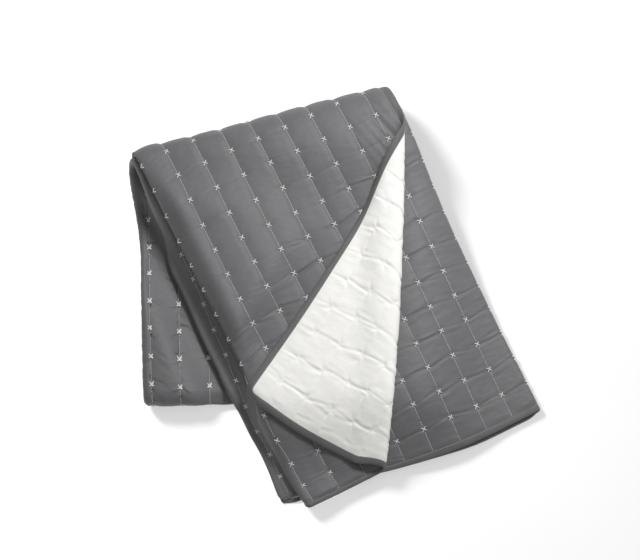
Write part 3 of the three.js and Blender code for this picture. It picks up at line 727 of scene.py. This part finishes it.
class Wire:
    """A socket in a material's nodes. Sums and products of wires and numbers make Math nodes."""

    def __init__(self, tree, socket=None):
        self.tree = tree
        self.socket = socket

    def node(self, kind, settings, sockets, output=0):
        made = self.tree.nodes.new(kind)
        for name, value in settings.items():
            if name == "stops":
                for stop, (position, shade) in zip(made.color_ramp.elements, value):
                    stop.position = position
                    stop.color = (*shade, 1)
            else:
                setattr(made, name, value)
        for name, value in sockets.items():
            if isinstance(value, Wire):
                self.tree.links.new(value.socket, made.inputs[name])
            else:
                made.inputs[name].default_value = value
        return Wire(self.tree, made.outputs[output])

    def math(self, operation, first, second):
        return self.node("ShaderNodeMath", {"operation": operation}, {0: first, 1: second})

    def __add__(self, other):
        return self.math("ADD", self, other)

    def __radd__(self, other):
        return self.math("ADD", other, self)

    def __sub__(self, other):
        return self.math("SUBTRACT", self, other)

    def __rsub__(self, other):
        return self.math("SUBTRACT", other, self)

    def __mul__(self, other):
        return self.math("MULTIPLY", self, other)

    def __rmul__(self, other):
        return self.math("MULTIPLY", other, self)


def new_material(name, **constants):
    material = bpy.data.materials.new(name)
    material.use_nodes = True
    shader = material.node_tree.nodes["Principled BSDF"]
    for socket in shader.inputs:
        if socket.name.lower().replace(" ", "_") in constants:
            socket.default_value = constants[socket.name.lower().replace(" ", "_")]
    return material, shader, Wire(material.node_tree)


def noise(vector, scale, detail, rough=0.5):
    sockets = {"Vector": vector, "Scale": scale, "Detail": detail, "Roughness": rough}
    return vector.node("ShaderNodeTexNoise", {}, sockets)


def cloth_material(name, dark, light, rough, weave_size, weave_depth, crumple_depth):
    """Woven cotton: a mottled colour, threads in two directions and small soft crumples."""
    gloss = {"specular_ior_level": 0.35, "sheen_weight": 0.12, "sheen_roughness": 0.4}
    material, shader, start = new_material(name, **gloss)
    flat = start.node("ShaderNodeUVMap", {"uv_map": "flat"}, {})
    mottle = noise(flat, 22, 4, 0.6)
    fleck = noise(flat, 900, 1)
    shade = mottle * 0.6 + fleck * 0.4
    stops = [(0.3, dark), (0.7, light)]
    colour = start.node("ShaderNodeValToRGB", {"stops": stops}, {"Fac": shade})
    warp_wave = {"wave_type": "BANDS", "bands_direction": "X", "wave_profile": "SIN"}
    weft_wave = {"wave_type": "BANDS", "bands_direction": "Y", "wave_profile": "SIN"}
    threads = {"Vector": flat, "Scale": 0.31 / weave_size, "Distortion": 0.4, "Detail": 1}
    warp = start.node("ShaderNodeTexWave", warp_wave, threads)
    weft = start.node("ShaderNodeTexWave", weft_wave, threads)
    across = start.node("ShaderNodeMapping", {}, {"Vector": flat, "Scale": (0.7, 1.4, 1)})
    crumple = noise(across, 62, 4)
    woven = {"Height": warp * 0.5 + weft * 0.5, "Distance": weave_depth, "Strength": 1}
    fine = start.node("ShaderNodeBump", {}, woven)
    crumpled = {"Height": crumple, "Distance": crumple_depth, "Normal": fine}
    soft = start.node("ShaderNodeBump", {}, crumpled)
    material.node_tree.links.new(colour.socket, shader.inputs["Base Color"])
    material.node_tree.links.new((mottle * 0.16 + (rough - 0.08)).socket, shader.inputs["Roughness"])
    material.node_tree.links.new(soft.socket, shader.inputs["Normal"])
    return material


face = cloth_mesh("quilted_face", face_height, face_steps)
face.data.materials.append(cloth_material(
    "grey_sateen", dark=(0.128, 0.127, 0.132), light=(0.156, 0.155, 0.161), rough=0.55,
    weave_size=0.0007, weave_depth=0.00004, crumple_depth=0.0012))
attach(face, "root")
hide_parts("quilted_body")

# The reverse: off-white cotton, sewn through with the face. It has no filling in front of it, so it
# gathers more sharply, in double ridges from each tack to the next across the channels.
REVERSE_AT_SEAM = 2.0


def reverse_height(u, v):
    """How far the reverse stands behind the middle of its layer, as a value below 0."""
    u, v = (part.astype(float) for part in np.broadcast_arrays(u, v))
    share, _ = channel(u)
    puff = np.sin(math.pi * np.clip(share, 0, 1)) ** 0.7
    turned = ease(EDGE_SEAM, EDGE_SEAM + 60, u) * (1 - ease(700, 800, v))
    height = REVERSE_AT_SEAM + (0.5 + 0.1 * turned) * puff + 1.4 * turned
    height += (0.3 + 2.2 * turned) * creases(u, v, 0, 0.95)
    height += 1.8 * star(u, v) * turned
    height += 0.9 * rumple(u, v, 34, 13, 2) * turned * (0.4 + 0.6 * puff)
    height += 0.4 * rumple(u, v, 60, 50, 3) * turned
    return -mix(np.maximum(height, 0.9), 1.4, under_binding(u, v))


def reverse_steps(lines_u, lines_v):
    """The step of each cell: 1 on the turned corner, 2 in the folds and 4 elsewhere, also in the left
    side, where only the face shows."""
    u, v, _ = cell_places(lines_u, lines_v)
    step = np.full(u.shape, 4)
    step[((v > 800) & (v < 1020)) | ((v > 1500) & (v < 1700))] = 2
    flat_place = RUN_ORIGIN + np.multiply.outer(u - EDGE_SEAM, RUN_ACROSS) * 1.035
    flat_place = flat_place + np.multiply.outer(RUN_SCALE * (RUN_ORIGIN_V - v), RUN_DOWN)
    past = past_turn(flat_place.reshape(-1, 2)).reshape(u.shape)
    step[(u > EDGE_SEAM) & (v < 860) & (past > -50)] = 1
    step[(u > UNDER_SEAM) & (u < EDGE_SEAM)] = 4
    return step


reverse = cloth_mesh("reverse_cloth", reverse_height, reverse_steps)
reverse.data.materials.append(cloth_material(
    "off_white_cotton", dark=(0.87, 0.862, 0.825), light=(0.92, 0.915, 0.885), rough=0.85,
    weave_size=0.0008, weave_depth=0.00005, crumple_depth=0.001))
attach(reverse, "root")
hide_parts("reverse_panel")

# The binding: a strip of the same grey cotton, folded over the raw edge of all layers and stitched
# through 15 mm from it. It runs round rounded corners in one piece.
BINDING_SECTION = [
    (15.0, 1.0), (14.6, 2.0), (13.2, 2.5), (9.0, 2.9), (4.5, 2.7), (1.2, 1.7), (0.0, 0.0),
    (1.2, -2.0), (4.5, -3.1), (9.0, -3.3), (13.2, -2.9), (14.6, -2.4), (15.0, -1.0),
]
BINDING_STEP = 6.0
CORNER_STEPS = 8


def edge_line(inset):
    """The outline of the flat coverlet at an inset, as one closed run of points with round corners."""
    radius = max(CORNER_RADIUS - inset, 1.0)
    centre_in = inset + radius
    corners = [(centre_in, centre_in, 180), (WIDTH - centre_in, centre_in, 270),
               (WIDTH - centre_in, LENGTH - centre_in, 0), (centre_in, LENGTH - centre_in, 90)]
    line = []
    for number, (u, v, start) in enumerate(corners):
        for step in range(CORNER_STEPS + 1):
            angle = math.radians(start + 90 * step / CORNER_STEPS)
            line.append((u + radius * math.cos(angle), v + radius * math.sin(angle)))
        next_u, next_v, _ = corners[(number + 1) % 4]
        side = max(abs(next_u - u), abs(next_v - v))
        last = np.array(line[-1])
        way = np.array([next_u - u, next_v - v]) / side
        count = round((WIDTH if number % 2 == 0 else LENGTH) / BINDING_STEP)
        line += [tuple(last + way * side * k / count) for k in range(1, count)]
    return np.array(line)


def length_along(line):
    return np.concatenate([[0], np.cumsum(np.hypot(*np.diff(line, axis=0).T))])


def edge_ripple(line):
    run = length_along(line)
    return 0.35 * rumple(run, run * 0, 13, 40, 1) + 0.25 * rumple(run, run * 0, 47, 40, 2)


rings = []
flat_points = []
for inset, lift in BINDING_SECTION:
    line = edge_line(inset)
    rings.append(fold(line[:, 0], line[:, 1], lift + np.sign(lift) * edge_ripple(line)))
    flat_points.append(line)
ring_size = len(rings[0])
faces = []
for ring in range(len(rings)):
    for k in range(ring_size):
        following = (ring + 1) % len(rings)
        after = (k + 1) % ring_size
        faces.append((ring * ring_size + k, following * ring_size + k,
                      following * ring_size + after, ring * ring_size + after))
flat_points = np.concatenate(flat_points)
binding = make_mesh("edge_binding_strip", np.concatenate(rings), faces, *flat_points.T)
binding.data.materials.append(cloth_material(
    "grey_binding", dark=(0.1, 0.103, 0.101), light=(0.14, 0.143, 0.14), rough=0.62,
    weave_size=0.0008, weave_depth=0.00006, crumple_depth=0.0007))
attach(binding, "root")
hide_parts("edge_binding")

# The rows of machine stitching: a fine light grey thread that sews face, filling and reverse together,
# with four stitches to 16 mm, laid in the bottom of each valley from end to end.
STITCH_PITCH = 4.0
STITCH_LENGTH = 3.9
STITCH_HALF_WIDTH = 0.85
STITCH_HEIGHT = 0.45


def stitches(name, starts_u, starts_v, way_u, way_v, height):
    """Small grains of thread, each pointed at both ends, that follow the cloth."""
    half = STITCH_LENGTH / 2
    shape = np.array([
        (-half, 0, 0), (half, 0, 0), (0, -STITCH_HALF_WIDTH, 0), (0, STITCH_HALF_WIDTH, 0),
        (0, 0, STITCH_HEIGHT), (0, 0, -STITCH_HEIGHT)])
    u = starts_u[:, None] + way_u[:, None] * shape[:, 0] - way_v[:, None] * shape[:, 1]
    v = starts_v[:, None] + way_v[:, None] * shape[:, 0] + way_u[:, None] * shape[:, 1]
    n = height(starts_u, starts_v)[:, None] + shape[:, 2]
    points = fold(u, v, n)
    base = np.arange(len(starts_u))[:, None, None] * 6
    above = [(0, 2, 4), (2, 1, 4), (1, 3, 4), (3, 0, 4)]
    below = [(2, 0, 5), (1, 2, 5), (3, 1, 5), (0, 3, 5)]
    grain = np.array(above + below)
    return make_mesh(name, points, (base + grain).reshape(-1, 3))


def thread_material(name, shade, dark_share):
    """Twisted thread: two near shades in fine slanted bands."""
    material, shader, start = new_material(name, specular_ior_level=0.3, sheen_weight=0.2)
    place = start.node("ShaderNodeTexCoord", {}, {}, "Object")
    slanted = {"bands_direction": "DIAGONAL"}
    ply = start.node("ShaderNodeTexWave", slanted, {"Vector": place, "Scale": 520})
    fluff = noise(place, 300, 2)
    stops = [(0.2, tuple(part * dark_share for part in shade)), (0.8, shade)]
    colour = start.node("ShaderNodeValToRGB", {"stops": stops}, {"Fac": ply * 0.5 + fluff * 0.5})
    bump = start.node("ShaderNodeBump", {}, {"Height": ply, "Distance": 0.0002})
    material.node_tree.links.new(colour.socket, shader.inputs["Base Color"])
    material.node_tree.links.new((fluff * 0.2 + 0.6).socket, shader.inputs["Roughness"])
    material.node_tree.links.new(bump.socket, shader.inputs["Normal"])
    return material


THREAD_ABOVE_FACE = 0.35


def seam_floor(u, v):
    return face_height(u, v) + THREAD_ABOVE_FACE


places_v = np.arange(BINDING + 3, LENGTH - BINDING - 2, STITCH_PITCH)
all_u, all_v = (part.ravel() for part in np.meshgrid(seam(np.arange(SEAMS)), places_v, indexing="ij"))
seam_thread = stitches("seam_thread", all_u - 0.3, all_v, all_u * 0, all_v * 0 + 1, seam_floor)
seam_thread.data.materials.append(thread_material("light_grey_thread", (0.78, 0.79, 0.79), 0.85))
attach(seam_thread, "root")

# The crosses: thick pale cotton thread, one x of two long stitches at each tack, with arms at half a
# right angle to the row. The second arm passes over the first.
CROSS_REACH = 5.1
CROSS_HALF_WIDTH = 1.15
CROSS_HALF_HEIGHT = 0.9
CROSS_ABOVE_FACE = 1.3
SECOND_ARM_ABOVE = 1.1
ARM_STEPS = np.linspace(-1, 1, 9)
ARM_SIDES = 6


def cross_arm(u, v, slant, over):
    """One long stitch: it comes up through the cloth, arches over it and goes down again."""
    turn = np.arange(ARM_SIDES) * 2 * math.pi / ARM_SIDES
    thick = np.sqrt(1 - np.abs(ARM_STEPS) ** 6 * 0.75)
    along_arm = ARM_STEPS[:, None] * CROSS_REACH
    aside = thick[:, None] * CROSS_HALF_WIDTH * np.cos(turn)
    half = math.sqrt(0.5)
    du = along_arm * slant + aside * half * slant
    dv = along_arm * np.ones_like(turn) - aside * half
    arch = 0.9 * (1 - ARM_STEPS ** 4)[:, None] - 0.5 + over * np.exp(-((ARM_STEPS * 2.2) ** 2))[:, None]
    dn = arch + thick[:, None] * CROSS_HALF_HEIGHT * np.sin(turn)
    at_u = u[:, None, None] + du
    at_v = v[:, None, None] + dv
    floor = face_height(u, v)[:, None, None]
    return at_u, at_v, floor + CROSS_ABOVE_FACE + dn


cross_u, cross_v = (part.ravel() for part in np.meshgrid(
    seam(np.arange(SEAMS)), END_MARGIN + PITCH * np.arange(ROWS), indexing="ij"))
arms = [cross_arm(cross_u, cross_v, 1, 0.0), cross_arm(cross_u, cross_v, -1, SECOND_ARM_ABOVE)]
arm_u, arm_v, arm_n = (
    np.concatenate([part.reshape(len(cross_u), -1) for part in parts]) for parts in zip(*arms))
steps = len(ARM_STEPS)
sides = []
for ring in range(steps - 1):
    for k in range(ARM_SIDES):
        after = (k + 1) % ARM_SIDES
        sides.append((ring * ARM_SIDES + k, ring * ARM_SIDES + after,
                      (ring + 1) * ARM_SIDES + after, (ring + 1) * ARM_SIDES + k))
base = (np.arange(len(arm_u)) * steps * ARM_SIDES)[:, None, None]
cross_faces = (base + np.array(sides)).reshape(-1, 4)
crosses = make_mesh("cross_stitches", fold(arm_u, arm_v, arm_n), cross_faces)
crosses.data.materials.append(thread_material("pale_thread", (0.82, 0.84, 0.84), 0.85))
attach(crosses, "root")

# The stitching of the binding: a row of grey thread just inside its inner edge, on both faces.
EDGE_STITCH_INSET = 13.4
EDGE_STITCH_HEIGHTS = [2.5, -3.2]
edge = edge_line(EDGE_STITCH_INSET)
edge_run = length_along(edge)
edge_places = np.arange(0, edge_run[-1], STITCH_PITCH)
edge_u = np.interp(edge_places, edge_run, edge[:, 0])
edge_v = np.interp(edge_places, edge_run, edge[:, 1])
edge_way = np.column_stack([np.gradient(edge_u), np.gradient(edge_v)])
edge_way /= np.linalg.norm(edge_way, axis=1)[:, None]
both_sides = np.repeat(EDGE_STITCH_HEIGHTS, len(edge_u))
edge_thread = stitches(
    "binding_thread", np.tile(edge_u, 2), np.tile(edge_v, 2), np.tile(edge_way[:, 0], 2),
    np.tile(edge_way[:, 1], 2), lambda u, v: both_sides)
edge_thread.data.materials.append(thread_material("grey_thread", (0.5, 0.5, 0.49), 0.6))
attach(edge_thread, "root")

# The place it was photographed in: a plain white floor and even white light from all round. A soft lamp
# from the upper right lights the cloth alone. Another from the upper left lights the floor alone, so that
# a faint shadow falls to the lower right, and a third brightens the floor without a shadow.
FLOOR_SIZE = 30
bpy.ops.mesh.primitive_plane_add(size=FLOOR_SIZE, location=(0, 0, 0))
floor = bpy.context.object
floor.name = "white_floor"
matt = {"roughness": 0.9, "specular_ior_level": 0.1}
floor_material, floor_shader, floor_start = new_material("white_paper", **matt)
floor_place = floor_start.node("ShaderNodeTexCoord", {}, {}, "Object")
floor_grain = floor_start.node("ShaderNodeTexNoise", {}, {"Vector": floor_place, "Scale": 3})
floor_stops = [(0.3, (0.9, 0.9, 0.9)), (0.7, (0.92, 0.92, 0.92))]
floor_colour = floor_start.node("ShaderNodeValToRGB", {"stops": floor_stops}, {"Fac": floor_grain})
floor_material.node_tree.links.new(floor_colour.socket, floor_shader.inputs["Base Color"])
floor.data.materials.append(floor_material)

ROOM_LIGHT = 0.31
world = bpy.data.worlds.new("studio")
bpy.context.scene.world = world
world.use_nodes = True
world.node_tree.nodes["Background"].inputs["Color"].default_value = (1, 1, 1, 1)
world.node_tree.nodes["Background"].inputs["Strength"].default_value = ROOM_LIGHT


def aimed(holder, place, target):
    holder.location = place
    holder.rotation_euler = (Vector(target) - Vector(place)).to_track_quat("-Z", "Y").to_euler()
    bpy.context.collection.objects.link(holder)


def soft_lamp(name, size, energy, place, lights, blocked_by=None):
    """A round soft box that lights only some things, as flags and screens do in a studio."""
    lamp = bpy.data.lights.new(name, "AREA")
    lamp.shape = "DISK"
    lamp.size = size
    lamp.energy = energy
    holder = bpy.data.objects.new(name, lamp)
    aimed(holder, place, (0, 0, 0))
    receivers = bpy.data.collections.new(name + "_lights")
    for thing in lights:
        receivers.objects.link(thing)
    holder.light_linking.receiver_collection = receivers
    if blocked_by is not None:
        blockers = bpy.data.collections.new(name + "_blocked_by")
        for thing in blocked_by:
            blockers.objects.link(thing)
        holder.light_linking.blocker_collection = blockers


cloth = [face, reverse, binding, seam_thread, crosses, edge_thread]
soft_lamp("key_lamp", 0.7, 56, (0.8, 1.2, 2.2), cloth)
soft_lamp("floor_lamp", 1.3, 185, (-3.0, 2.7, 3.0), [floor])
soft_lamp("floor_fill", 2.0, 49, (0, 0, 3.0), [floor], [floor])

# The camera looks down from 74 degrees, with the long lens that the photo's slight perspective asks for.
CAMERA_HEIGHT_ANGLE = math.radians(74)
CAMERA_DISTANCE = 4.6
CAMERA_LENS = 115.2
AIM = Vector((-PILE_MIDDLE[0], -PILE_MIDDLE[1], 40)) / 1000
toward_camera = Vector((0, -math.cos(CAMERA_HEIGHT_ANGLE), math.sin(CAMERA_HEIGHT_ANGLE)))
camera_data = bpy.data.cameras.new("camera")
camera_data.sensor_width = 36
camera_data.lens = CAMERA_LENS
camera = bpy.data.objects.new("camera", camera_data)
aimed(camera, AIM + toward_camera * CAMERA_DISTANCE, AIM)
bpy.context.scene.camera = camera
bpy.context.scene.view_settings.view_transform = "Standard"
bpy.context.scene.view_settings.look = "None"
